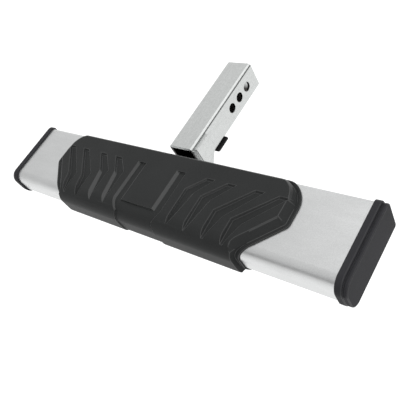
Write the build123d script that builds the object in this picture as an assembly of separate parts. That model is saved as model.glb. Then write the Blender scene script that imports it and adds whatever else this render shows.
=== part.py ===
from build123d import *
import os
from math import atan, degrees, hypot

# Hitch receiver step: an extruded board with a moulded tread pad, two end caps and a welded shank.
# Sizes are in millimetres. The pieces are drawn with X along the board, Y from the board's nose
# towards the vehicle and Z up, from the middle of the nose at the height of the board's top.
# They are saved from the middle pin hole's centre, with the same axes.

# Room that cutting shapes reach past what they cut
spare = 30.0
small_spare = 1.0

# Board extrusion
board_length = 685.8
board_depth = 127.0
board_height = 50.8
nose_top_radius = 18.0
nose_bottom_radius = 14.0
back_top_radius = 5.0
back_bottom_radius = 2.5
board_wall = 3.2
web_thickness = 3.0
least_radius = 0.5

# Bolt slots in the board's underside
slot_lines = (38.0, 95.0)
slot_mouth = 9.0
slot_width = 14.0
slot_depth = 6.4
slot_lip = 4.0
slot_wall = 3.0

# Tread pad
pad_half_length = 253.9
pad_back_thickness = 2.0
pad_corner_radius = 44.0
pad_neck_half = 199.5
pad_shoulder = 57.5
pad_neck = -2.9
pad_shoulder_radius = 12.0
pad_neck_radius = 10.0
pad_top = 12.0
recess_floor = 8.5
pad_nose = 8.9
pad_nose_radius = 28.0
pad_nose_foot_radius = 22.0
recess_nose = 7.1
recess_nose_radius = 25.6
recess_nose_foot_radius = 20.0
pad_nose_end = -50.0
pad_back_end = -8.0
lip_height = 2.3
lip_width = 3.3
rim_groove_width = 3.2
rim_groove_floor = 0.8
rim_bevel = 9.8
back_land = 93.0
pad_back_edge = 2.6

# Recess and raised block in the middle of the pad
recess_half_top = 53.4
recess_half_foot = 50.8
recess_bend = 19.5
recess_turn = 0.31
recess_front_halves = ((41.5, 3.0), (46.0, -20.0))
block_half_top = 34.6
block_half_foot = 38.5
block_front = 18.3

# Chevron grooves of the tread, given for the right half
chevron_first = 70.3
chevron_pitch = 34.4
chevron_bends = ((67.4, 65.1), (62.0, 59.7), (47.1, 40.6), (41.8, 37.3))
chevron_floors = (8.2, 7.0, 6.0, 6.0)
chevron_back_floor = 8.8
chevron_ramps = (5.0, 5.2, 2.5, 2.5)
chevron_front = 0.5
chevron_tip = 5.6
chevron_shoulder = 20.0
chevron_end = 15.5
chevron_lean = 0.4
chevron_end_lean = 0.8

# Step along each slanted end of the tread
end_step_inset = 16.0
end_step_start = 32.0
end_step_end = 74.0
end_step_foot = 9.6

# Snap tabs that hold the pad in slits of the board's top wall
tab_places = ((60.0, 66.0), (180.0, 66.0), (60.0, 110.0), (180.0, 110.0))
tab_root = 3.4
tab_width = 14.0
tab_thickness = 4.0
tab_barb = 1.6
tab_barb_height = 5.0
tab_gap = 0.3

# End caps
cap_rim_width = 9.9
cap_rim_proud = 3.0
cap_block_proud = 2.0
cap_block_drop = 0.5
cap_block_corner = 6.0
cap_length = 17.0
cap_groove_width = 1.8
cap_groove_depth = 1.4
cap_edge = 0.9
cap_rim_edge = 1.0
plug_length = 16.0
plug_gap = 0.3
plug_wall = 2.5

# Shank tube
shank_size = 50.8
shank_wall = 4.76
shank_radius = 5.6
shank_top = 3.0
shank_setback = 14.4
shank_length = 197.0
pin_radius = 8.35
pin_to_end = 55.9
pin_pitch = 25.4

# Bracket
plate_thickness = 6.35
plate_setback = 4.6
plate_width = 35.0
plate_rear_foot = -31.0
plate_tops = {"left": -7.0, "right": -2.0}
plate_depth = 25.0
plate_nose = 18.0
plate_nose_rise = 16.0
plate_nose_run = 22.0
plate_knee = 17.0
board_gap = 2.0
base_half_length = 70.0
base_front = 15.0
base_inset = 5.0
bolt_half_span = 52.0
base_corner = 5.0
weld_leg = 5.0
weld_end = 1.0

# Slot bolts, M8
bolt_diameter = 8.0
bolt_hole = 9.0
bolt_head_flats = 13.0
bolt_head_height = 5.3
bolt_end = 3.0
nut_height = 8.0
nut_flange_diameter = 17.9
nut_flange_thickness = 1.8

# Stop bar under the shank
stop_half_length = 30.0
stop_setback = 41.6
stop_width = 31.7
stop_thickness = 3.0
stop_corner = 3.0
rivet_half_span = 12.0
rivet_radius = 3.2
rivet_gap = 0.1
rivet_head_radius = 6.0
rivet_head_height = 1.6
rivet_bulb_radius = 4.8
rivet_bulb_height = 4.0

# Derived heights and places
board_bottom = -board_height
pad_back = board_depth + pad_back_thickness
pad_low = pad_nose_end - spare
pad_high = pad_top + spare
body_inset = lip_width + rim_groove_width
base_bottom = board_bottom - plate_thickness
shank_middle = shank_top - shank_size / 2
shank_bottom = shank_top - shank_size
shank_half = shank_size / 2
shank_front = board_depth + shank_setback
pin_middle = shank_front + shank_length - pin_to_end
plate_front = shank_front + plate_setback
plate_rear = plate_front + plate_width
base_rear = board_depth - base_inset
stop_front = shank_front + stop_setback
stop_rear = stop_front + stop_width
rivet_line = stop_front + stop_width / 2
nut_bottom = base_bottom - nut_height
slot_floor = board_bottom + slot_lip
slot_roof = slot_floor + slot_depth
stop_bottom = shank_bottom - stop_thickness


def outline(points):
    """Flat face through (u, v, radius) points, each corner rounded by its radius."""
    face = make_face(Polyline(*[(u, v) for u, v, radius in points], close=True))
    for u, v, radius in points:
        if radius > 0:
            corner = face.vertices().sort_by_distance((u, v, 0))[0]
            face = fillet(corner, radius)
    return face


def box_face(u_low, v_low, u_high, v_high):
    """Rectangle given by two opposite corners."""
    return outline([(u_low, v_low, 0), (u_high, v_low, 0), (u_high, v_high, 0), (u_low, v_high, 0)])


def along_board(face, half_length):
    """Solid with a (Y, Z) section, running both ways along the board from its middle."""
    return extrude(Plane.YZ * face, half_length, both=True)


def along_board_from(face, start, length):
    """Solid with a (Y, Z) section, running to +X from a start plane."""
    return extrude(Plane.YZ.offset(start) * face, length)


def towards_vehicle(face, start, length):
    """Solid with an (X, Z) section, running to +Y from a start plane."""
    return extrude(Plane.XZ.offset(-start) * face, -length)


def upward(face, start, height):
    """Solid with an (X, Y) section, running up from a start height."""
    return extrude(Plane.XY.offset(start) * face, height)


def rod(x, y, bottom, height, radius):
    """Upright cylinder."""
    return Pos(x, y, bottom) * Cylinder(radius, height, align=(Align.CENTER, Align.CENTER, Align.MIN))


def hexagon(x, y, bottom, height, flats):
    """Upright hexagonal prism, measured across its flats."""
    face = RegularPolygon(flats / 2, 6, major_radius=False)
    return Pos(x, y, bottom) * extrude(face, height)


def both_sides(solid):
    """A solid and its mirror image across the middle of the board."""
    return [solid, mirror(solid, about=Plane.YZ)]


def board_outline(grow):
    """The board's (Y, Z) section, grown outwards or (below zero) shrunk."""
    back = board_depth + grow
    bottom = board_bottom - grow
    return outline([
        (-grow, grow, nose_top_radius + grow),
        (back, grow, max(back_top_radius + grow, least_radius)),
        (back, bottom, max(back_bottom_radius + grow, least_radius)),
        (-grow, bottom, nose_bottom_radius + grow),
    ])


def chambers(gap):
    """The board's three hollow chambers, shrunk by a gap on every side."""
    face = board_outline(-board_wall - gap)
    half_web = web_thickness / 2 + gap
    half_housing = slot_width / 2 + slot_wall + gap
    for line in slot_lines:
        face -= box_face(line - half_web, board_bottom, line + half_web, 0)
        face -= box_face(line - half_housing, board_bottom, line + half_housing, slot_roof + slot_wall + gap)
    return face


def slots():
    """The two T-shaped bolt slots."""
    face = None
    for line in slot_lines:
        slot = box_face(line - slot_width / 2, slot_floor, line + slot_width / 2, slot_roof)
        slot += box_face(line - slot_mouth / 2, board_bottom - slot_lip, line + slot_mouth / 2, slot_floor)
        face = slot if face is None else face + slot
    return face


def tab_points():
    """Plan places of the pad's snap tabs."""
    return [(side * x, y) for x, y in tab_places for side in (-1, 1)]


def make_board():
    section = board_outline(0) - chambers(0) - slots()
    solid = along_board(section, board_length / 2)
    half_width = tab_width / 2 + tab_gap
    half_thickness = tab_thickness / 2 + tab_gap
    for x, y in tab_points():
        slit = box_face(x - half_width, y - half_thickness, x + half_width, y + half_thickness)
        solid -= upward(slit, -2 * board_wall, 3 * board_wall)
    return solid


def pad_plan(back, corner_radius, inset):
    """The pad's outline seen from above, moved inwards by an inset."""
    half = [
        (pad_neck_half, -spare, 0),
        (pad_neck_half, pad_neck, pad_neck_radius),
        (pad_half_length, pad_shoulder, pad_shoulder_radius),
        (pad_half_length, back, corner_radius),
    ]
    face = outline(half + [(-x, y, radius) for x, y, radius in reversed(half)])
    return offset(face, -inset, kind=Kind.INTERSECTION) if inset else face


def wrap_region():
    """Where the pad lies: over the board's top, nose and back edge."""
    middle = board_depth / 2
    over = box_face(-spare, pad_back_end, board_depth + spare, spare)
    return over + box_face(-spare, pad_nose_end, middle, spare)


def pad_section(top, nose, nose_radius, foot_radius):
    """The pad's (Y, Z) section over the board, for a given top height and nose thickness.

    The top's back edge is bevelled, by a slope that runs on down past the pad's back.
    """
    foot = board_bottom - nose
    bevel = pad_back - body_inset - pad_back_edge
    end = board_depth + spare
    outer = outline([
        (-nose, top, nose_radius),
        (bevel, top, 0),
        (end, top - (end - bevel), 0),
        (end, foot, 0),
        (-nose, foot, foot_radius),
    ])
    return (outer & wrap_region()) - board_outline(0)


def skin_section(thickness):
    """A layer of even thickness over the board."""
    return (board_outline(thickness) & wrap_region()) - board_outline(0)


def leaning_cutter(points, insets, floor):
    """Pocket cutter with a flat floor, from an outline at the tread's top, given anticlockwise.

    Each side leans inwards by its own inset between the tread's top and the floor.
    """
    corners = [Vector(*point) for point in points]
    sides = []
    for corner, following, inset in zip(corners, corners[1:] + corners[:1], insets):
        along = (following - corner).normalized()
        sides.append((corner, along, Vector(-along.Y, along.X) * inset))

    def face_at(share):
        moved = [(corner + inward * share, along) for corner, along, inward in sides]
        meeting = []
        for (p, d), (q, e) in zip(moved[-1:] + moved[:-1], moved):
            meeting.append(p + d * ((q - p).cross(e).Z / d.cross(e).Z))
        return make_face(Polyline(*meeting, close=True))

    low = Plane.XY.offset(floor) * face_at(1)
    high = Plane.XY.offset(pad_top + small_spare) * face_at(-small_spare / (pad_top - floor))
    return loft([low, high], ruled=True)


def chevron_cutter(line, inner_bend, outer_bend, floor, ramp):
    """One groove: steep sides, but a ramp on the outer side of the lower arm, which narrows to a tip.

    Its floor rises from the given height at the front to a common height at the back.
    """
    depth = pad_top - floor
    steep = chevron_lean * depth
    end_lean = chevron_end_lean * depth
    end = line + back_land - inner_bend
    points = [
        (line, chevron_front),
        (line + steep + chevron_tip, chevron_front),
        (line + chevron_shoulder, outer_bend),
        (end + chevron_end, back_land),
        (end, back_land),
        (line, inner_bend),
    ]
    rising = make_face(Polyline(
        (chevron_front - small_spare, floor),
        (back_land + small_spare, chevron_back_floor),
        (back_land + small_spare, pad_high),
        (chevron_front - small_spare, pad_high),
        close=True,
    ))
    pocket = leaning_cutter(points, [0, ramp, steep, end_lean, steep, steep], floor)
    return pocket & along_board(rising, pad_half_length)


def end_step_cutter():
    """Step that runs beside the pad's slanted right end: a steep wall above a ramp to the rim groove."""
    neck = Vector(pad_neck_half, pad_neck)
    along = (Vector(pad_half_length, pad_shoulder) - neck).normalized()
    inward = Vector(-along.Y, along.X)
    drop = pad_top - end_step_foot
    face = make_face(Polyline(
        (end_step_inset + chevron_lean * small_spare, pad_top + small_spare),
        (end_step_inset - chevron_lean * drop, end_step_foot),
        (body_inset, rim_groove_floor),
        (-spare, rim_groove_floor),
        (-spare, pad_top + small_spare),
        close=True,
    ))
    start = Plane(origin=neck + along * end_step_start, x_dir=inward, z_dir=along)
    return extrude(start * face, end_step_end - end_step_start)


def mirrored_face(half):
    """Face from half an outline and its mirror image in the other half."""
    return make_face(Polyline(*half, *[(-u, v) for u, v in reversed(half)], close=True))


def sloped_half(half_top, half_foot):
    """Half section of a band with sloped sides, from under the recess floor to above the tread."""
    slope = (half_top - half_foot) / (pad_top - recess_floor)
    return [
        (half_top + slope * small_spare, pad_top + small_spare),
        (half_foot, recess_floor),
        (half_foot, 0),
    ]


def middle_recess(tread, floor):
    """What is taken out of the pad's middle, around the raised block."""
    band = along_board(tread - floor, recess_half_top + spare)
    channel = mirrored_face(sloped_half(recess_half_top, recess_half_foot))
    region = towards_vehicle(channel, recess_bend, back_land - recess_bend)

    # In front of a bend the sloped sides close in, until upright sides take over on the nose
    back = recess_half_top
    front = back - recess_turn * (recess_bend + spare)
    plan = [(-front, -spare), (front, -spare), (back, recess_bend), (-back, recess_bend)]
    slope = (recess_half_top - recess_half_foot) / (pad_top - recess_floor)
    lean = slope * pad_top / hypot(1, recess_turn)
    region += leaning_cutter(plan, [0, lean, 0, lean], 0)
    upper_half = (recess_front_halves[0][0], pad_top + small_spare)
    lower_half = (recess_front_halves[-1][0], pad_low)
    upright = mirrored_face([upper_half, *recess_front_halves, lower_half])
    region += towards_vehicle(upright, -spare, recess_bend + spare)
    block = mirrored_face(sloped_half(block_half_top, block_half_foot))
    return (band & region) - towards_vehicle(block, block_front, back_land)


def make_tab(x, y):
    """Snap tab with a barb that catches under the board's top wall."""
    front = y - tab_thickness / 2
    back = y + tab_thickness / 2
    catch = -board_wall - tab_gap
    tip = catch - tab_barb_height
    face = make_face(Polyline(
        (front, tab_root),
        (back, tab_root),
        (back, catch),
        (back + tab_gap + tab_barb, catch),
        (back, tip),
        (front, tip),
        close=True,
    ))
    return along_board_from(face, x - tab_width / 2, tab_width)


def make_pad():
    tread = pad_section(pad_top, pad_nose, pad_nose_radius, pad_nose_foot_radius)
    floor = pad_section(recess_floor, recess_nose, recess_nose_radius, recess_nose_foot_radius)
    reach = pad_half_length + spare

    # The tread body has sloped ends, and stands back from the pad's outline
    rise = pad_top - rim_groove_floor
    sloped_plan = pad_plan(pad_back + rim_bevel, pad_corner_radius + rim_bevel / 2, body_inset)
    taper = degrees(atan(rim_bevel / rise))
    sloped_ends = extrude(Plane.XY.offset(rim_groove_floor) * sloped_plan, rise + small_spare, taper=taper)
    sloped_ends += upward(sloped_plan, pad_low, rim_groove_floor - pad_low)
    inset_plan = pad_plan(pad_back, pad_corner_radius, body_inset)
    body = along_board(tread, reach) & sloped_ends
    body &= upward(inset_plan, pad_low, pad_high - pad_low)

    body -= middle_recess(tread, floor)
    cutters = [end_step_cutter()]
    for number, (bends, deep, ramp) in enumerate(zip(chevron_bends, chevron_floors, chevron_ramps)):
        line = chevron_first + number * chevron_pitch
        cutters.append(chevron_cutter(line, *bends, deep, ramp))
    for cutter in cutters:
        for side in both_sides(cutter):
            body -= side

    # A thin flange round the body carries a raised lip along its edge
    full_plan = pad_plan(pad_back, pad_corner_radius, 0)
    lip_plan = full_plan - pad_plan(pad_back, pad_corner_radius, lip_width)
    height = pad_high - pad_low
    flange = along_board(skin_section(rim_groove_floor), reach) & upward(full_plan, pad_low, height)
    lip = along_board(skin_section(lip_height), reach) & upward(lip_plan, pad_low, height)
    pad = body + flange + lip

    for x, y in tab_points():
        pad += make_tab(x, y)
    return pad


def cap_outline(drop):
    """Section of the end cap's outer block, with its top a given drop below the board's top."""
    back = board_depth + cap_block_proud
    bottom = board_bottom - cap_block_proud
    return outline([
        (-cap_block_proud, -drop, nose_top_radius),
        (back, -drop, cap_block_corner),
        (back, bottom, back_bottom_radius + cap_block_proud),
        (-cap_block_proud, bottom, nose_bottom_radius + cap_block_proud),
    ])


def make_cap():
    """Right end cap: a proud rim against the board's end, a lower outer block and a hollow plug.

    A groove between the rim and the block runs along the top only.
    """
    end = board_length / 2
    rim_end = end + cap_rim_width
    groove_end = rim_end + cap_groove_width
    rim = along_board_from(board_outline(cap_rim_proud), end, cap_rim_width)
    rim = chamfer(rim.faces().sort_by(Axis.X)[-1].edges(), cap_rim_edge)
    neck = along_board_from(cap_outline(cap_block_drop + cap_groove_depth), rim_end, cap_groove_width)
    block = along_board_from(cap_outline(cap_block_drop), groove_end, end + cap_length - groove_end)
    block = chamfer(block.faces().sort_by(Axis.X)[-1].edges(), cap_edge)
    plug = along_board_from(chambers(plug_gap) - chambers(plug_wall), end - plug_length, plug_length)
    return rim + neck + block + plug


def make_shank():
    outer = outline([
        (-shank_half, shank_bottom, shank_radius),
        (shank_half, shank_bottom, shank_radius),
        (shank_half, shank_top, shank_radius),
        (-shank_half, shank_top, shank_radius),
    ])
    inner = offset(outer, -shank_wall, kind=Kind.INTERSECTION)
    tube = towards_vehicle(outer - inner, shank_front, shank_length)
    for step in (-1, 0, 1):
        place = Pos(0, pin_middle + step * pin_pitch, shank_middle)
        tube -= place * Rot(0, 90, 0) * Cylinder(pin_radius, 2 * shank_size)
    for side in (-1, 1):
        tube -= rod(side * rivet_half_span, rivet_line, shank_bottom - spare,
                    spare + 2 * shank_wall, rivet_radius + rivet_gap)
    return tube


def make_side_plate(top, side):
    """Bracket plate on one side of the shank, with a leg that runs forward under the base plate."""
    foot = base_bottom - plate_depth
    heel = board_depth + board_gap
    knee_height = heel - plate_front
    rear_cut = plate_rear + (foot - plate_rear_foot)
    face = make_face(Polyline(
        (plate_front, top),
        (plate_rear, top),
        (plate_rear, plate_rear_foot),
        (rear_cut, foot),
        (plate_nose + plate_nose_run, foot),
        (plate_nose, foot + plate_nose_rise),
        (plate_nose, base_bottom),
        (heel, base_bottom),
        (heel, plate_rear_foot - plate_knee + knee_height / 2),
        (plate_front, plate_rear_foot - plate_knee - knee_height / 2),
        close=True,
    ))
    start = shank_half if side > 0 else -shank_half - plate_thickness
    return along_board_from(face, start, plate_thickness)


def bolt_points():
    """Plan places of the slot bolts."""
    return [(side * bolt_half_span, line) for line in slot_lines for side in (-1, 1)]


def make_base_plate():
    face = box_face(-base_half_length, base_front, base_half_length, base_rear)
    face = fillet(face.vertices(), base_corner)
    plate = upward(face, base_bottom, plate_thickness)
    for x, y in bolt_points():
        plate -= rod(x, y, base_bottom - spare, 2 * spare, bolt_hole / 2)
    return plate


def weld_prism(corner, first, second, start, length, sense):
    """Triangular bead in the angle between two faces, running along Y or Z."""
    face = make_face(Polyline(corner, first, second, close=True))
    return towards_vehicle(face, start, length) if sense == "Y" else upward(face, start, length)


def make_base_welds():
    """Beads that join each side plate's leg to the base plate."""
    outer = shank_half + plate_thickness
    start = plate_nose + weld_leg
    length = base_rear - weld_leg - start
    beads = []
    for x, out in ((shank_half, -weld_leg), (outer, weld_leg)):
        bead = weld_prism((x, base_bottom), (x + out, base_bottom), (x, base_bottom - weld_leg),
                          start, length, "Y")
        beads += both_sides(bead)
    return beads


def make_shank_welds():
    """Upright beads along the front edge of each side plate, on the shank's sides."""
    low = shank_bottom + shank_radius
    beads = []
    for side, name in ((-1, "left"), (1, "right")):
        high = min(plate_tops[name], shank_top - shank_radius) - weld_end
        knee_top = plate_rear_foot - plate_knee + (plate_front - board_depth - board_gap) / 2
        start = max(low, knee_top)
        x = side * shank_half
        bead = weld_prism((x, plate_front), (x + side * weld_leg, plate_front),
                          (x, max(plate_front - weld_leg, shank_front)), start, high - start, "Z")
        beads.append(bead)
    return beads


def make_bolts():
    """Hexagon-headed bolts that hang from the slots."""
    tip = nut_bottom - bolt_end
    bolts = []
    for x, y in bolt_points():
        head = hexagon(x, y, slot_floor, bolt_head_height, bolt_head_flats)
        bolts.append(head + rod(x, y, tip, slot_floor - tip, bolt_diameter / 2))
    return bolts


def make_nuts():
    """Flange nuts under the base plate."""
    nuts = []
    for x, y in bolt_points():
        flange_bottom = base_bottom - nut_flange_thickness
        nut = hexagon(x, y, nut_bottom, nut_height, bolt_head_flats)
        nut += rod(x, y, flange_bottom, nut_flange_thickness, nut_flange_diameter / 2)
        nuts.append(nut - rod(x, y, nut_bottom - spare, nut_height + 2 * spare, bolt_diameter / 2))
    return nuts


def make_stop_bar():
    face = box_face(-stop_half_length, stop_front, stop_half_length, stop_rear)
    bar = upward(fillet(face.vertices(), stop_corner), stop_bottom, stop_thickness)
    for side in (-1, 1):
        bar -= rod(side * rivet_half_span, rivet_line, stop_bottom - stop_thickness,
                   3 * stop_thickness, rivet_radius + rivet_gap)
    return bar


def make_rivets():
    """Blind rivets through the stop bar and the shank's lower wall."""
    rivets = []
    inside = shank_bottom + shank_wall
    for side in (-1, 1):
        x = side * rivet_half_span
        y = rivet_line
        head = rod(x, y, stop_bottom - rivet_head_height, rivet_head_height, rivet_head_radius)
        body = rod(x, y, stop_bottom, inside - stop_bottom, rivet_radius)
        bulb = rod(x, y, inside, rivet_bulb_height, rivet_bulb_radius)
        rivets.append(head + body + bulb)
    return rivets


right_cap = make_cap()
nodes = {
    "step_board": [make_board()],
    "step_pad": [make_pad()],
    "left_end_cap": [mirror(right_cap, about=Plane.YZ)],
    "right_end_cap": [right_cap],
    "shank_tube": [make_shank()],
    "left_side_plate": [make_side_plate(plate_tops["left"], -1)],
    "right_side_plate": [make_side_plate(plate_tops["right"], 1)],
    "base_plate": [make_base_plate()],
    "base_welds": make_base_welds(),
    "shank_welds": make_shank_welds(),
    "slot_bolts": make_bolts(),
    "slot_nuts": make_nuts(),
    "stop_bar": [make_stop_bar()],
    "stop_rivets": make_rivets(),
}

# Save each piece from the middle pin hole's centre
os.makedirs("parts", exist_ok=True)
to_pin = Pos(0, -pin_middle, -shank_middle)
for name, solids in nodes.items():
    moved = []
    for solid in solids:
        moved += [to_pin * piece for piece in solid.solids()]
    shape = moved[0] if len(moved) == 1 else Compound(children=moved)
    export_step(shape, f"parts/{name}.step")
    box = shape.bounding_box()
    print(name, len(moved), "solid(s), volume", round(sum(piece.volume for piece in moved)), "size",
          [round(v, 1) for v in (box.size.X, box.size.Y, box.size.Z)])
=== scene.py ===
# %% [markdown]
# # A step for a vehicle's towing receiver
# The CAD model gives every piece its real size and place, in metres, measured from the middle
# pin hole of the shank: X runs along the board, Y into the vehicle and Z up. This lesson adds
# what CAD leaves out: softened edges, small fastener detail, finishes, light and the camera.

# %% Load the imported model
import math

import bmesh
import bpy
from mathutils import Matrix, Vector


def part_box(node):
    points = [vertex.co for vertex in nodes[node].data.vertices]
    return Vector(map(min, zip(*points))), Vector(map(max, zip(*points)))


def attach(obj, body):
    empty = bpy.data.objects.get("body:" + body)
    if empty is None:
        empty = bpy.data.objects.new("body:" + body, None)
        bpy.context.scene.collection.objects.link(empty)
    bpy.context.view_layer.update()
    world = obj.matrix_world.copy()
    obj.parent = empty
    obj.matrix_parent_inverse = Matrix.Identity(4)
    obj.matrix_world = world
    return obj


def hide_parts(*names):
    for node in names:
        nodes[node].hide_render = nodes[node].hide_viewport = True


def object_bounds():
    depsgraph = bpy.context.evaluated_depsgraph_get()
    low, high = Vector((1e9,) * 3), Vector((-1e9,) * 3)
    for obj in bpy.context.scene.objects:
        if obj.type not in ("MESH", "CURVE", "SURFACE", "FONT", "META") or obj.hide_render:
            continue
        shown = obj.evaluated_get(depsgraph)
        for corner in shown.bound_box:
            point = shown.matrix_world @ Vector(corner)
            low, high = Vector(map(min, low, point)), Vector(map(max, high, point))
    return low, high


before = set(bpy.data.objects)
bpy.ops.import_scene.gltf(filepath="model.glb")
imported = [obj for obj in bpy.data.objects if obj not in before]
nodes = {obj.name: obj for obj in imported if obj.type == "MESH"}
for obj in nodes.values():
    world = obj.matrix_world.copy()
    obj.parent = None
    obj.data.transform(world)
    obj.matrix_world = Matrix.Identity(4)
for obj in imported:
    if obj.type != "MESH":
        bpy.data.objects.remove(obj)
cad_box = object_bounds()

scene = bpy.context.scene
MM = 0.001
print("pieces:", ", ".join(sorted(nodes)))
print("size in mm:", [round(v / MM, 1) for v in cad_box[1] - cad_box[0]])

# %% [markdown]
# ## Helpers for finishes
# Colours are easiest to judge as the hex values of a paint program. Those are sRGB, and Blender's
# shaders count light itself, so one function turns a hex value to linear. A second one adds a
# node, sets what it has to set and makes its links, so that a finish reads from top to bottom.
# Patterns follow the object's own coordinates, so they stay put when the camera moves.

# %% Colour and node helpers
def linear(hex_colour):
    """sRGB hex colour as linear red, green, blue and alpha."""
    shares = [int(hex_colour[i:i + 2], 16) / 255 for i in (1, 3, 5)]
    return [c / 12.92 if c <= 0.04045 else ((c + 0.055) / 1.055) ** 2.4 for c in shares] + [1.0]


def add_node(tree, kind, settings=None, inputs=None):
    """Adds a node. An input, by name or number, is linked to a node's output or set to a value."""
    node = tree.nodes.new(kind)
    for name, value in (settings or {}).items():
        setattr(node, name, value)
    for name, value in (inputs or {}).items():
        if isinstance(value, bpy.types.NodeSocket):
            tree.links.new(value, node.inputs[name])
        else:
            node.inputs[name].default_value = value
    return node


def new_finish(name):
    """An empty material, its node tree, and the object's own coordinates in metres."""
    material = bpy.data.materials.new(name)
    material.use_nodes = True
    tree = material.node_tree
    tree.nodes.clear()
    place = add_node(tree, "ShaderNodeTexCoord").outputs["Object"]
    return material, tree, place


def per_mm(size):
    """Scale of a pattern whose grain is a given number of millimetres."""
    return 1 / (size * MM)


print("mid grey #808080 is", round(linear("#808080")[0], 3), "in linear light")

# %% [markdown]
# ## Satin aluminium
# The board is an aluminium extrusion with a satin, clear anodised skin. Blasting before the bath
# leaves a fine grain, which scatters light and shows as a faint sparkle. The real grain is a few
# hundredths of a millimetre, too fine to show here, so it is drawn about a millimetre wide. The
# die that the metal was pressed through leaves soft, wide streaks along the board. Both are noise,
# and the streaks are noise that is stretched along the board.

# %% Aluminium
# Satin metal gives the eye broad, soft reflections with a pale sparkle in them.
ALUMINIUM_COLOURS = linear("#c9caca"), linear("#d9dada")
ALUMINIUM_SPAN = 0.48, 0.90     # values of the pattern that are darkest and lightest
ALUMINIUM_ROUGHNESS = 0.30, 0.42
SPARKLE_GRAIN = 1.1             # mm
STREAK_WIDTH = 14.0             # mm
STREAK_STRETCH = 0.3            # scale along the board
STREAK_SHARE = 0.35             # weight against the grain
GRAIN_DEPTH = 0.1               # mm

aluminium, tree, place = new_finish("satin_anodised_aluminium")
grain = add_node(tree, "ShaderNodeTexNoise", None, {
    "Vector": place, "Scale": per_mm(SPARKLE_GRAIN), "Detail": 2.0, "Roughness": 0.6})
pressed = add_node(tree, "ShaderNodeMapping", None, {
    "Vector": place, "Scale": (STREAK_STRETCH, 1.0, 1.0)})
streaks = add_node(tree, "ShaderNodeTexNoise", None, {
    "Vector": pressed.outputs["Vector"], "Scale": per_mm(STREAK_WIDTH), "Detail": 3.0})
mixed = add_node(tree, "ShaderNodeMath", {"operation": "MULTIPLY_ADD"}, {
    0: streaks.outputs["Fac"], 1: STREAK_SHARE, 2: grain.outputs["Fac"]})
shade = add_node(tree, "ShaderNodeValToRGB", None, {"Fac": mixed.outputs["Value"]})
for stop, position, colour in zip(shade.color_ramp.elements, ALUMINIUM_SPAN, ALUMINIUM_COLOURS):
    stop.position = position
    stop.color = colour
relief = add_node(tree, "ShaderNodeBump", None, {
    "Strength": 0.12, "Distance": GRAIN_DEPTH * MM, "Height": grain.outputs["Fac"]})
shine = add_node(tree, "ShaderNodeMapRange", None, {
    "Value": grain.outputs["Fac"], "To Min": ALUMINIUM_ROUGHNESS[0], "To Max": ALUMINIUM_ROUGHNESS[1]})
surface = add_node(tree, "ShaderNodeBsdfPrincipled", None, {
    "Base Color": shade.outputs["Color"], "Metallic": 0.95, "Roughness": shine.outputs["Result"],
    "Normal": relief.outputs["Normal"]})
add_node(tree, "ShaderNodeOutputMaterial", None, {"Surface": surface.outputs["BSDF"]})
print("finish:", aluminium.name)

# %% [markdown]
# ## Moulded plastics and black paint
# The tread pad and the end caps are moulded in a black, rubbery plastic. The mould is eroded by
# sparks, which gives a fine matte grain. Matte black still sends back some light of its own
# colour, so it is a dark grey here, with a rough surface and a little variation. The steep walls
# of the tread are polished in the mould, so that the pad comes out of it, and shoes polish the
# edges. Both get a second, shinier finish, which draws the tread in thin light lines. The stop
# bar is painted satin black. Its film flows before it dries, so its grain is wider, and its black
# is deeper. One function makes all of these, because they differ only in their numbers. The real
# grain is finer than it is drawn here, where it has to be near a millimetre to show.

# %% Black finishes
# Matte black gives the eye an even dark grey, and polish adds a pale line where an edge turns.
BLACK_SPAN = 0.45, 0.90
CLOUD_SIZE = 60.0               # mm
CLOUD_SHARE = 0.35


def black_finish(name, dark, light, roughness, gloss, grain_size):
    """Black plastic or paint with a fine grain and wide, faint clouds."""
    material, tree, place = new_finish(name)
    grain = add_node(tree, "ShaderNodeTexNoise", None, {
        "Vector": place, "Scale": per_mm(grain_size), "Detail": 3.0, "Roughness": 0.65})
    cloud = add_node(tree, "ShaderNodeTexNoise", None, {
        "Vector": place, "Scale": per_mm(CLOUD_SIZE), "Detail": 2.0})
    mixed = add_node(tree, "ShaderNodeMath", {"operation": "MULTIPLY_ADD"}, {
        0: cloud.outputs["Fac"], 1: CLOUD_SHARE, 2: grain.outputs["Fac"]})
    shade = add_node(tree, "ShaderNodeValToRGB", None, {"Fac": mixed.outputs["Value"]})
    for stop, position, colour in zip(shade.color_ramp.elements, BLACK_SPAN, (dark, light)):
        stop.position = position
        stop.color = linear(colour)
    relief = add_node(tree, "ShaderNodeBump", None, {
        "Strength": 0.2, "Distance": GRAIN_DEPTH * MM, "Height": grain.outputs["Fac"]})
    surface = add_node(tree, "ShaderNodeBsdfPrincipled", None, {
        "Base Color": shade.outputs["Color"], "Roughness": roughness, "Specular IOR Level": gloss,
        "IOR": 1.5, "Normal": relief.outputs["Normal"]})
    add_node(tree, "ShaderNodeOutputMaterial", None, {"Surface": surface.outputs["BSDF"]})
    print("finish:", material.name)
    return material


pad_plastic = black_finish("spark_eroded_pad_plastic", "#282929", "#333434", 0.45, 0.08, 0.9)
pad_edges = black_finish("shoe_polished_pad_edges", "#252626", "#313232", 0.32, 0.5, 0.9)
cap_plastic = black_finish("spark_eroded_cap_plastic", "#2c2c2e", "#38383b", 0.52, 0.05, 0.7)
cap_edges = black_finish("polished_cap_edges", "#29292b", "#343437", 0.40, 0.22, 0.7)
black_paint = black_finish("satin_black_paint", "#141415", "#1c1c1d", 0.55, 0.2, 1.5)
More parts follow.
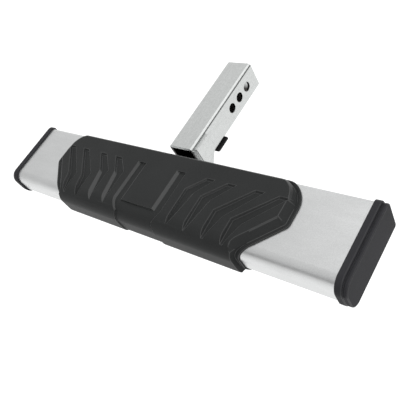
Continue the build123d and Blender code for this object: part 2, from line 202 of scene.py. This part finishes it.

# %% [markdown]
# ## Plated steel
# The shank and its bracket are steel with a bright zinc plating. Zinc grows in small crystals,
# so the colour clouds a little, and drawing the tube leaves faint lines along its length. Inside
# the tube and its pin holes, where little light reaches, shade is painted into the colour as a dark
# steel grey, which fades out towards the lit rear end. The tube is one piece with one finish, so the
# painted shade is placed by its distance from the tube's middle line.

# %% Where shade is painted inside the tube
TUBE_INSIDE = 25.1, 21.2        # mm from the middle line: sideways into the pin holes, and up
SHADE_FADE_SPAN = 40.0, 50.0         # mm along the tube, between which the painted shade fades out


def painted_tube_shade(tree, place):
    """Share of painted shade: 1 inside the tube, falling to 0 at its rear end, and 0 outside."""
    along = add_node(tree, "ShaderNodeSeparateXYZ", None, {"Vector": place})
    deep = add_node(tree, "ShaderNodeMapRange", None, {
        "Value": along.outputs["Y"], "From Min": SHADE_FADE_SPAN[0] * MM, "From Max": SHADE_FADE_SPAN[1] * MM,
        "To Min": 1.0, "To Max": 0.0})
    inside = deep.outputs["Result"]
    across = add_node(tree, "ShaderNodeVectorMath", {"operation": "ABSOLUTE"}, {0: place})
    sides = add_node(tree, "ShaderNodeSeparateXYZ", None, {"Vector": across.outputs["Vector"]})
    for axis, limit in zip("XZ", TUBE_INSIDE):
        nearer = add_node(tree, "ShaderNodeMath", {"operation": "LESS_THAN"}, {
            0: sides.outputs[axis], 1: limit * MM})
        joined = add_node(tree, "ShaderNodeMath", {"operation": "MULTIPLY"}, {
            0: inside, 1: nearer.outputs["Value"]})
        inside = joined.outputs["Value"]
    return inside


# where the painted shade inside the tube starts to fade out
print("painted shade reaches to", SHADE_FADE_SPAN[0], "mm behind the middle pin hole")

# %% Zinc plating
# Bright plating gives the eye clear reflections, a little clouded and drawn out lengthwise, and inside the
# tube a painted shade.
PLATING_SPAN = 0.50, 1.00
LINE_WIDTH = 2.0                # mm
LINE_STRETCH = 0.04             # scale along the tube
LINE_SHARE = 0.5                # weight against the crystals
CRYSTAL_SIZE = 5.0              # mm, drawn large enough to show
# painted shade: a dark steel grey that stands for the shade inside the tube and its pin holes
TUBE_SHADE_GREY = linear("#3a3735")


def plated_steel(name, dark, light, metal, roughness):
    """Zinc plating, with shade painted inside the tube as a dark steel grey that fades out at its rear end.
    """
    material, tree, place = new_finish(name)
    drawn = add_node(tree, "ShaderNodeMapping", None, {
        "Vector": place, "Scale": (1.0, LINE_STRETCH, 1.0)})
    lines = add_node(tree, "ShaderNodeTexNoise", None, {
        "Vector": drawn.outputs["Vector"], "Scale": per_mm(LINE_WIDTH), "Detail": 2.0})
    crystals = add_node(tree, "ShaderNodeTexNoise", None, {
        "Vector": place, "Scale": per_mm(CRYSTAL_SIZE), "Detail": 4.0, "Roughness": 0.6})
    mixed = add_node(tree, "ShaderNodeMath", {"operation": "MULTIPLY_ADD"}, {
        0: lines.outputs["Fac"], 1: LINE_SHARE, 2: crystals.outputs["Fac"]})
    shade = add_node(tree, "ShaderNodeValToRGB", None, {"Fac": mixed.outputs["Value"]})
    for stop, position, colour in zip(shade.color_ramp.elements, PLATING_SPAN, (dark, light)):
        stop.position = position
        stop.color = linear(colour)
    relief = add_node(tree, "ShaderNodeBump", None, {
        "Strength": 0.06, "Distance": GRAIN_DEPTH * MM, "Height": lines.outputs["Fac"]})
    # the mix node's inputs 6 and 7 and its output 2 are its colours
    # inside the tube the colour is mixed to the painted shade
    colour = add_node(tree, "ShaderNodeMix", {"data_type": "RGBA"}, {
        0: painted_tube_shade(tree, place), 6: shade.outputs["Color"], 7: TUBE_SHADE_GREY})
    surface = add_node(tree, "ShaderNodeBsdfPrincipled", None, {
        "Base Color": colour.outputs[2], "Metallic": metal, "Roughness": roughness,
        "Normal": relief.outputs["Normal"]})
    add_node(tree, "ShaderNodeOutputMaterial", None, {"Surface": surface.outputs["BSDF"]})
    print("finish:", material.name)
    return material


bracket_zinc = plated_steel("zinc_plated_bracket_steel", "#bcbebd", "#cbcdcc", 0.95, 0.24)
fastener_zinc = plated_steel("zinc_plated_fastener_steel", "#a9adae", "#c9cccc", 1.0, 0.3)

# %% [markdown]
# ## A finish for each CAD piece
# Every CAD piece gets its finish first, also where a more detailed piece stands for it later. The
# new piece then takes its finish from the CAD piece.

# %% Give each CAD piece its finish
FINISHES = {
    aluminium: ["step_board"],
    pad_plastic: ["step_pad"],
    cap_plastic: ["left_end_cap", "right_end_cap"],
    bracket_zinc: ["shank_tube", "left_side_plate", "right_side_plate", "base_plate", "base_welds",
                   "shank_welds"],
    fastener_zinc: ["slot_bolts", "slot_nuts", "stop_rivets"],
    black_paint: ["stop_bar"],
}
for finish, names in FINISHES.items():
    for name in names:
        nodes[name].data.materials.clear()
        nodes[name].data.materials.append(finish)
    print(finish.name, "->", ", ".join(names))

# %% [markdown]
# ## Softened edges
# No moulded or sawn edge is perfectly sharp: a mould is cut with a round tool, and a plate is
# deburred. The small round is what catches the light and draws each edge as a thin bright line.
# The CAD solids leave it out, so each of these pieces is a copy of its solid. A Bevel modifier on
# the solid itself would find nothing to round, because its triangles are loose. So the copy's
# triangles are merged, flat faces are joined again, and a bevel rounds the sharp edges.

# %% A merged copy of a solid, and a finished piece
MERGE = 0.002                   # mm


def merged_copy(node):
    """A CAD node's loose triangles as one joined shape."""
    shape = bmesh.new()
    shape.from_mesh(nodes[node].data)
    bmesh.ops.remove_doubles(shape, verts=shape.verts, dist=MERGE * MM)
    return shape


def finished(shape, name, node, smooth_angle):
    """Turns a bmesh to a piece that stands for a CAD node."""
    mesh = bpy.data.meshes.new(name)
    shape.to_mesh(mesh)
    shape.free()
    mesh.shade_smooth()
    mesh.set_sharp_from_angle(angle=math.radians(smooth_angle))
    mesh.materials.append(nodes[node].data.materials[0])
    piece = bpy.data.objects.new(name, mesh)
    scene.collection.objects.link(piece)
    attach(piece, "root")
    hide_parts(node)
    print(name, len(mesh.polygons), "faces")
    return piece


print("corners within", MERGE, "mm are merged")

# %% Edges that have room for a round
FLAT, SHARP, NARROW = 0.5, 24, 30       # degrees
ROOM = 0.45                             # share of an edge that a round may slide along


def edges_to_round(shape, radius):
    """The sharp edges of a shape that a round fits on.

    In a narrow corner of a face, the round of one edge slides along the other edge. Where that
    edge is too short for it, the round would overshoot, so the first edge stays sharp.
    """
    sharp = {e for e in shape.edges if e.is_manifold and e.calc_face_angle() > math.radians(SHARP)}
    for corner in [loop for face in shape.faces for loop in face.loops]:
        angle = corner.calc_angle()
        if angle < math.radians(NARROW):
            needed = radius * MM / (ROOM * math.sin(angle))
            before, after = corner.link_loop_prev.edge, corner.edge
            if after.calc_length() < needed:
                sharp.discard(before)
            if before.calc_length() < needed:
                sharp.discard(after)
    return sharp


print("edges over", SHARP, "degrees count as sharp")

# %% Round the sharp edges of each copied solid
WALL_LEAN = 0.35                # a face that leans this far to the side or back is a wall
WALL_DEPTH = 4.5                # mm below the top of the piece
SMOOTH = 42                     # degrees


def softened(node, radius, edges=None):
    """A copy of a CAD node with rounded edges. Its rounds and high walls may get their own finish."""
    shape = merged_copy(node)
    bmesh.ops.dissolve_limit(shape, angle_limit=math.radians(FLAT), verts=shape.verts, edges=shape.edges)
    if edges:
        wall_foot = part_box(node)[1].z - WALL_DEPTH * MM
        for face in shape.faces:
            high = face.calc_center_median().z > wall_foot
            face.material_index = int(high and max(abs(face.normal.x), face.normal.y) > WALL_LEAN)
    sharp = edges_to_round(shape, radius)
    rounds = bmesh.ops.bevel(shape, geom=list(sharp), offset=radius * MM, affect="EDGES", segments=2,
                             profile=0.5, material=-1, clamp_overlap=False)["faces"]
    if edges:
        for face in rounds:
            face.material_index = 1
    print(node, len(sharp), "edges rounded by", radius, "mm")
    piece = finished(shape, node + "_softened", node, SMOOTH)
    even = piece.modifiers.new("even_shading", "WEIGHTED_NORMAL")
    even.keep_sharp = True
    if edges:
        piece.data.materials.append(edges)


softened("step_pad", 0.6, pad_edges)
for side in ("left", "right"):
    softened(side + "_end_cap", 0.7, cap_edges)
    softened(side + "_side_plate", 0.7)
softened("shank_tube", 0.5)
softened("base_plate", 0.5)
softened("stop_bar", 0.4)
softened("slot_nuts", 0.3)

# %% [markdown]
# ## Welds and fasteners
# The CAD model holds each weld as a plain three-sided bar and each bolt as a smooth rod. A real
# bead is round and rippled, because the welder's pool freezes in small steps. A bolt's end shows
# its thread, and a rivet has a low dome. A bump in the finish could fake these, but it would be
# lost in the exported mesh, so they are modelled. Their places are read from the CAD pieces.

# %% Boxes of the separate solids
def solid_boxes(node):
    """Lowest and highest corner of each separate solid of a CAD node."""
    shape = merged_copy(node)
    waiting = set(shape.verts)
    boxes = []
    for start in shape.verts:
        if start not in waiting:
            continue
        waiting.remove(start)
        group = [start]
        for vert in group:
            for edge in vert.link_edges:
                other = edge.other_vert(vert)
                if other in waiting:
                    waiting.remove(other)
                    group.append(other)
        places = [vert.co.copy() for vert in group]
        boxes.append([Vector(map(pick, zip(*places))) for pick in (min, max)])
    shape.free()
    return boxes


def sealed(shape):
    """A made shape with its doubles merged and its faces turned outwards."""
    bmesh.ops.remove_doubles(shape, verts=shape.verts, dist=MERGE * MM)
    bmesh.ops.recalc_face_normals(shape, faces=shape.faces)
    return shape


for node in ("base_welds", "shank_welds", "slot_bolts", "stop_rivets"):
    print(node, len(solid_boxes(node)), "solids")

# %% A rippled weld bead
RIPPLE = 2.4                    # mm from one ripple to the next
RINGS_PER_RIPPLE = 4
BEAD_SIDES = 6
BEAD_LEG = 0.94                 # mean size of a ring, as a share of the CAD bar's legs
BEAD_SWELL = 0.06               # how far a ring swells or shrinks from that
BEAD_FLATNESS = 0.18            # how far the bead's middle lies inside a quarter circle


def weld_bead(shape, corner, first, second, run):
    """Round bead in the angle between two legs, whose rings swell and shrink along its run."""
    rings = RINGS_PER_RIPPLE * round(run.length / (RIPPLE * MM))
    swell = [BEAD_LEG - BEAD_SWELL * math.cos(2 * math.pi * k / RINGS_PER_RIPPLE) for k in range(rings + 1)]
    outline = [shape.verts.new(corner)]
    for k in range(BEAD_SIDES + 1):
        turn = math.pi / 2 * k / BEAD_SIDES
        reach = swell[0] * (1 - BEAD_FLATNESS * math.sin(2 * turn))
        spoke = first * math.cos(turn) + second * math.sin(turn)
        outline.append(shape.verts.new(corner + spoke * reach))
    end = shape.faces.new(outline)
    for k in range(1, rings + 1):
        made = bmesh.ops.extrude_face_region(shape, geom=[end])["geom"]
        if k > 1:
            bmesh.ops.delete(shape, geom=[end], context="FACES_ONLY")
        end = next(item for item in made if isinstance(item, bmesh.types.BMFace))
        bmesh.ops.translate(shape, verts=end.verts, vec=run / rings)
        bmesh.ops.scale(shape, verts=end.verts, vec=[swell[k] / swell[k - 1]] * 3,
                        space=Matrix.Translation(-(corner + run * (k / rings))))


print("a ripple every", RIPPLE, "mm")

# %% Weld beads
PLATE_MIDDLE = 28.6             # mm from the shank's middle to the middle of a side plate
BEAD_SMOOTH = 50                # degrees

beads = bmesh.new()
for low, high in solid_boxes("base_welds"):
    size = high - low
    outer = abs(low.x + high.x) / 2 > PLATE_MIDDLE * MM
    away = 1 if (low.x > 0) == outer else -1
    corner = Vector((low.x if away > 0 else high.x, low.y, high.z))
    weld_bead(beads, corner, Vector((away * size.x, 0, 0)), Vector((0, 0, -size.z)), Vector((0, size.y, 0)))
finished(sealed(beads), "rippled_base_welds", "base_welds", BEAD_SMOOTH)

beads = bmesh.new()
for low, high in solid_boxes("shank_welds"):
    size = high - low
    away = 1 if low.x > 0 else -1
    corner = Vector((low.x if away > 0 else high.x, high.y, low.z))
    weld_bead(beads, corner, Vector((away * size.x, 0, 0)), Vector((0, -size.y, 0)), Vector((0, 0, size.z)))
finished(sealed(beads), "rippled_shank_welds", "shank_welds", BEAD_SMOOTH)

# %% Threaded bolts
BOLT_RADIUS, THREAD_ROOT, THREAD_PITCH = 4.0, 3.4, 1.25     # mm
HEAD_HEIGHT, HEAD_FLATS = 5.3, 13.0                         # mm
SPIN_STEPS = 24
BOLT_SMOOTH = 25                                            # degrees


def turned(shape, x, y, profile):
    """Spins a profile of (radius, height) points once round an upright axis."""
    verts = [shape.verts.new((x + radius, y, height)) for radius, height in profile]
    edges = [shape.edges.new(pair) for pair in zip(verts, verts[1:])]
    bmesh.ops.spin(shape, geom=verts + edges, cent=(x, y, 0), axis=(0, 0, 1), angle=2 * math.pi,
                   steps=SPIN_STEPS, use_merge=True)


bolts = bmesh.new()
head_corner = HEAD_FLATS * MM / math.sqrt(3)
quarter_turn = Matrix.Rotation(math.pi / 2, 4, "Z")
for low, high in solid_boxes("slot_bolts"):
    x, y = (low.x + high.x) / 2, (low.y + high.y) / 2
    head_foot = high.z - HEAD_HEIGHT * MM
    profile = [(0, low.z), (THREAD_ROOT * MM, low.z)]
    for k in range(int((head_foot - low.z) / (THREAD_PITCH * MM))):
        height = low.z + (k + 0.5) * THREAD_PITCH * MM
        profile += [(BOLT_RADIUS * MM, height), (THREAD_ROOT * MM, height + THREAD_PITCH * MM / 2)]
    profile += [(THREAD_ROOT * MM, head_foot), (0, head_foot)]
    turned(bolts, x, y, profile)
    head_middle = Matrix.Translation((x, y, (head_foot + high.z) / 2))
    bmesh.ops.create_cone(bolts, cap_ends=True, segments=6, radius1=head_corner, radius2=head_corner,
                          depth=HEAD_HEIGHT * MM, matrix=head_middle @ quarter_turn)
finished(sealed(bolts), "threaded_slot_bolts", "slot_bolts", BOLT_SMOOTH)

# %% Domed rivets
RIVET_RADIUS = 3.2              # mm
RIVET_HEAD = (0.0, 0.0), (2.6, 0.1), (4.6, 0.45), (5.6, 0.95), (6.0, 1.6)   # mm of radius and rise
RIVET_BULB = (4.8, 0.0), (4.8, 2.2), (3.6, 3.5), (0.0, 4.0)
RIVET_SMOOTH = 35               # degrees

rivets = bmesh.new()
for low, high in solid_boxes("stop_rivets"):
    x, y = (low.x + high.x) / 2, (low.y + high.y) / 2
    bulb_foot = high.z - RIVET_BULB[-1][1] * MM
    profile = [(radius * MM, low.z + rise * MM) for radius, rise in RIVET_HEAD]
    profile += [(RIVET_RADIUS * MM, low.z + RIVET_HEAD[-1][1] * MM), (RIVET_RADIUS * MM, bulb_foot)]
    profile += [(radius * MM, bulb_foot + rise * MM) for radius, rise in RIVET_BULB]
    turned(rivets, x, y, profile)
finished(sealed(rivets), "domed_stop_rivets", "stop_rivets", RIVET_SMOOTH)

# %% [markdown]
# ## Floor and light
# In use the step hangs at the back of a vehicle, so the floor lies well below it and catches only
# a faint, soft shadow. The floor and a band of the world above it look white, to the camera and in
# reflections alike. The rest of the world is brightest behind the object, on the left, and fades
# away from there, so that flat metal shows a gentle change of tone. A large soft lamp stands to
# the right and above, and a weaker one to the front.

# %% Floor
FLOOR_DROP = 0.45               # m below the object
FLOOR_HALF = 6.0                # m
FLOOR_GREY = linear("#7c7c7c")
FLOOR_GLOW = 1.05               # what the camera and reflections see, where 1 is white


def seen_directly(tree):
    """1 for rays from the camera, off glossy surfaces or through clear ones, and otherwise 0."""
    path = add_node(tree, "ShaderNodeLightPath")
    seen = path.outputs["Is Camera Ray"]
    for other in ("Is Glossy Ray", "Is Transmission Ray"):
        joined = add_node(tree, "ShaderNodeMath", {"operation": "MAXIMUM"}, {0: seen, 1: path.outputs[other]})
        seen = joined.outputs["Value"]
    return seen


paper, tree, _ = new_finish("white_studio_floor")
matte = add_node(tree, "ShaderNodeBsdfDiffuse", None, {"Color": FLOOR_GREY})
lift = add_node(tree, "ShaderNodeMath", {"operation": "MULTIPLY"}, {0: seen_directly(tree), 1: FLOOR_GLOW})
glow = add_node(tree, "ShaderNodeEmission", None, {"Strength": lift.outputs["Value"]})
both = add_node(tree, "ShaderNodeAddShader", None, {0: matte.outputs["BSDF"], 1: glow.outputs["Emission"]})
add_node(tree, "ShaderNodeOutputMaterial", None, {"Surface": both.outputs["Shader"]})

floor_height = cad_box[0].z - FLOOR_DROP
floor_mesh = bpy.data.meshes.new("floor")
shape = bmesh.new()
bmesh.ops.create_grid(shape, x_segments=1, y_segments=1, size=FLOOR_HALF)
bmesh.ops.translate(shape, verts=shape.verts, vec=(0, 0, floor_height))
shape.to_mesh(floor_mesh)
shape.free()
floor_mesh.materials.append(paper)
floor = bpy.data.objects.new("floor", floor_mesh)
scene.collection.objects.link(floor)
print("floor at", round(floor_height, 3), "m")

# %% World
BRIGHT_SIDE = -0.55, 0.62, 0.56                                         # direction from the object
SKY_LEVELS = (0.30, 0.54), (0.52, 0.66), (0.92, 0.75), (1.00, 1.00)     # place on the ramp, and grey
WHITE_UP_TO, SKY_FROM = 13, 25                                          # degrees above the horizon

world = bpy.data.worlds.new("studio")
scene.world = world
world.use_nodes = True
tree = world.node_tree
tree.nodes.clear()
outward = add_node(tree, "ShaderNodeTexCoord").outputs["Generated"]
towards = add_node(tree, "ShaderNodeVectorMath", {"operation": "DOT_PRODUCT"}, {
    0: outward, 1: Vector(BRIGHT_SIDE).normalized()})
level = add_node(tree, "ShaderNodeMapRange", None, {"Value": towards.outputs["Value"], "From Min": -1.0})
fade = add_node(tree, "ShaderNodeValToRGB", None, {"Fac": level.outputs["Result"]})
for position, _ in SKY_LEVELS[1:-1]:
    fade.color_ramp.elements.new(position)
for stop, (position, grey) in zip(fade.color_ramp.elements, SKY_LEVELS):
    stop.position = position
    stop.color = grey, grey, grey, 1.0
sky = add_node(tree, "ShaderNodeBackground", None, {"Color": fade.outputs["Color"]})
backdrop = add_node(tree, "ShaderNodeBackground", None, {"Color": linear("#ffffff")})
height = add_node(tree, "ShaderNodeSeparateXYZ", None, {"Vector": outward})
low_band = add_node(tree, "ShaderNodeMapRange", {"interpolation_type": "SMOOTHSTEP"}, {
    "Value": height.outputs["Z"], "From Min": math.sin(math.radians(WHITE_UP_TO)),
    "From Max": math.sin(math.radians(SKY_FROM)), "To Min": 1.0, "To Max": 0.0})
white = add_node(tree, "ShaderNodeMath", {"operation": "MULTIPLY"}, {
    0: seen_directly(tree), 1: low_band.outputs["Result"]})
shown = add_node(tree, "ShaderNodeMixShader", None, {
    "Fac": white.outputs["Value"], 1: sky.outputs["Background"], 2: backdrop.outputs["Background"]})
add_node(tree, "ShaderNodeOutputWorld", None, {"Surface": shown.outputs["Shader"]})
print("the world is white up to", WHITE_UP_TO, "degrees above the horizon")

# %% Lamps
middle = (cad_box[0] + cad_box[1]) / 2


def soft_lamp(name, direction, distance, size, power):
    """Square lamp that faces the middle of the object from a given direction."""
    lamp = bpy.data.lights.new(name, "AREA")
    lamp.shape = "SQUARE"
    lamp.size = size
    lamp.energy = power
    holder = bpy.data.objects.new(name, lamp)
    away = Vector(direction).normalized()
    holder.location = middle + away * distance
    holder.rotation_mode = "QUATERNION"
    holder.rotation_quaternion = away.to_track_quat("Z", "Y")
    scene.collection.objects.link(holder)
    print("lamp:", name, "at", [round(v, 2) for v in holder.location])


soft_lamp("right_lamp", (0.58, 0.28, 0.77), distance=2.2, size=3.6, power=34.0)
soft_lamp("front_lamp", (0.50, -0.57, 0.65), distance=2.4, size=2.2, power=8.0)

# %% [markdown]
# ## Dark cards
# Photographers stand dark cards beside bright metal. One on the right shows in the shank's rounded
# corner as a thin dark line, which sets the corner off from the pale faces on both sides. One that
# hangs at the front left shows along the top of the board's nose, where it draws the bend. Here
# they are seen only in reflections, and they throw no shadow.

# %% Dark cards
CARDS = {       # where it stands, its width and height, and how far its foot is above the floor, in m
    "right_card": ((1.30, 0.84), (1.6, 1.15), 0.0),
    "nose_card": ((-0.60, -1.40), (1.5, 0.60), 1.05),
}

felt, tree, _ = new_finish("dark_felt_card")
matte = add_node(tree, "ShaderNodeBsdfDiffuse", None, {"Color": linear("#909090")})
add_node(tree, "ShaderNodeOutputMaterial", None, {"Surface": matte.outputs["BSDF"]})

for name, (stand, size, foot) in CARDS.items():
    card_mesh = bpy.data.meshes.new(name)
    shape = bmesh.new()
    bmesh.ops.create_grid(shape, x_segments=1, y_segments=1, size=0.5)
    bmesh.ops.scale(shape, verts=shape.verts, vec=(*size, 1))
    inward = Vector((-stand[0], -stand[1], 0)).to_track_quat("Z", "Y").to_matrix()
    bmesh.ops.rotate(shape, verts=shape.verts, matrix=inward)
    bmesh.ops.translate(shape, verts=shape.verts, vec=(*stand, floor_height + foot + size[1] / 2))
    shape.to_mesh(card_mesh)
    shape.free()
    card_mesh.materials.append(felt)
    card = bpy.data.objects.new(name, card_mesh)
    scene.collection.objects.link(card)
    card.visible_camera = False
    card.visible_diffuse = False
    card.visible_shadow = False
    card.visible_transmission = False
    print(name, [[round(v, 2) for v in vert.co] for vert in card_mesh.vertices])

# %% [markdown]
# ## Camera
# The photograph looks down on the step from the right front, tilted to one side. Its place, aim
# and tilt were found by fitting a pinhole camera to the straight edges of the board and shank.

# %% Camera
CAMERA_PLACE = Vector((0.5947, -0.4901, 0.5753))
CAMERA_AIM = Vector((0.1291, -0.2361, 0.0344))
CAMERA_TILT = -36.34            # degrees
CAMERA_LENS = 46.29             # mm, for a sensor 36 mm wide

camera = bpy.data.cameras.new("camera")
camera.lens = CAMERA_LENS
camera.sensor_width = 36.0
camera.sensor_fit = "HORIZONTAL"
camera.clip_start = 0.01
holder = bpy.data.objects.new("camera", camera)
holder.location = CAMERA_PLACE
looking = (CAMERA_AIM - CAMERA_PLACE).to_track_quat("-Z", "Y").to_matrix()
tilt = Matrix.Rotation(math.radians(CAMERA_TILT), 3, "Z")
holder.rotation_mode = "QUATERNION"
holder.rotation_quaternion = (looking @ tilt).to_quaternion()
scene.collection.objects.link(holder)
scene.camera = holder
scene.view_settings.view_transform = "Standard"
print("camera", round((CAMERA_AIM - CAMERA_PLACE).length, 3), "m from where it aims")
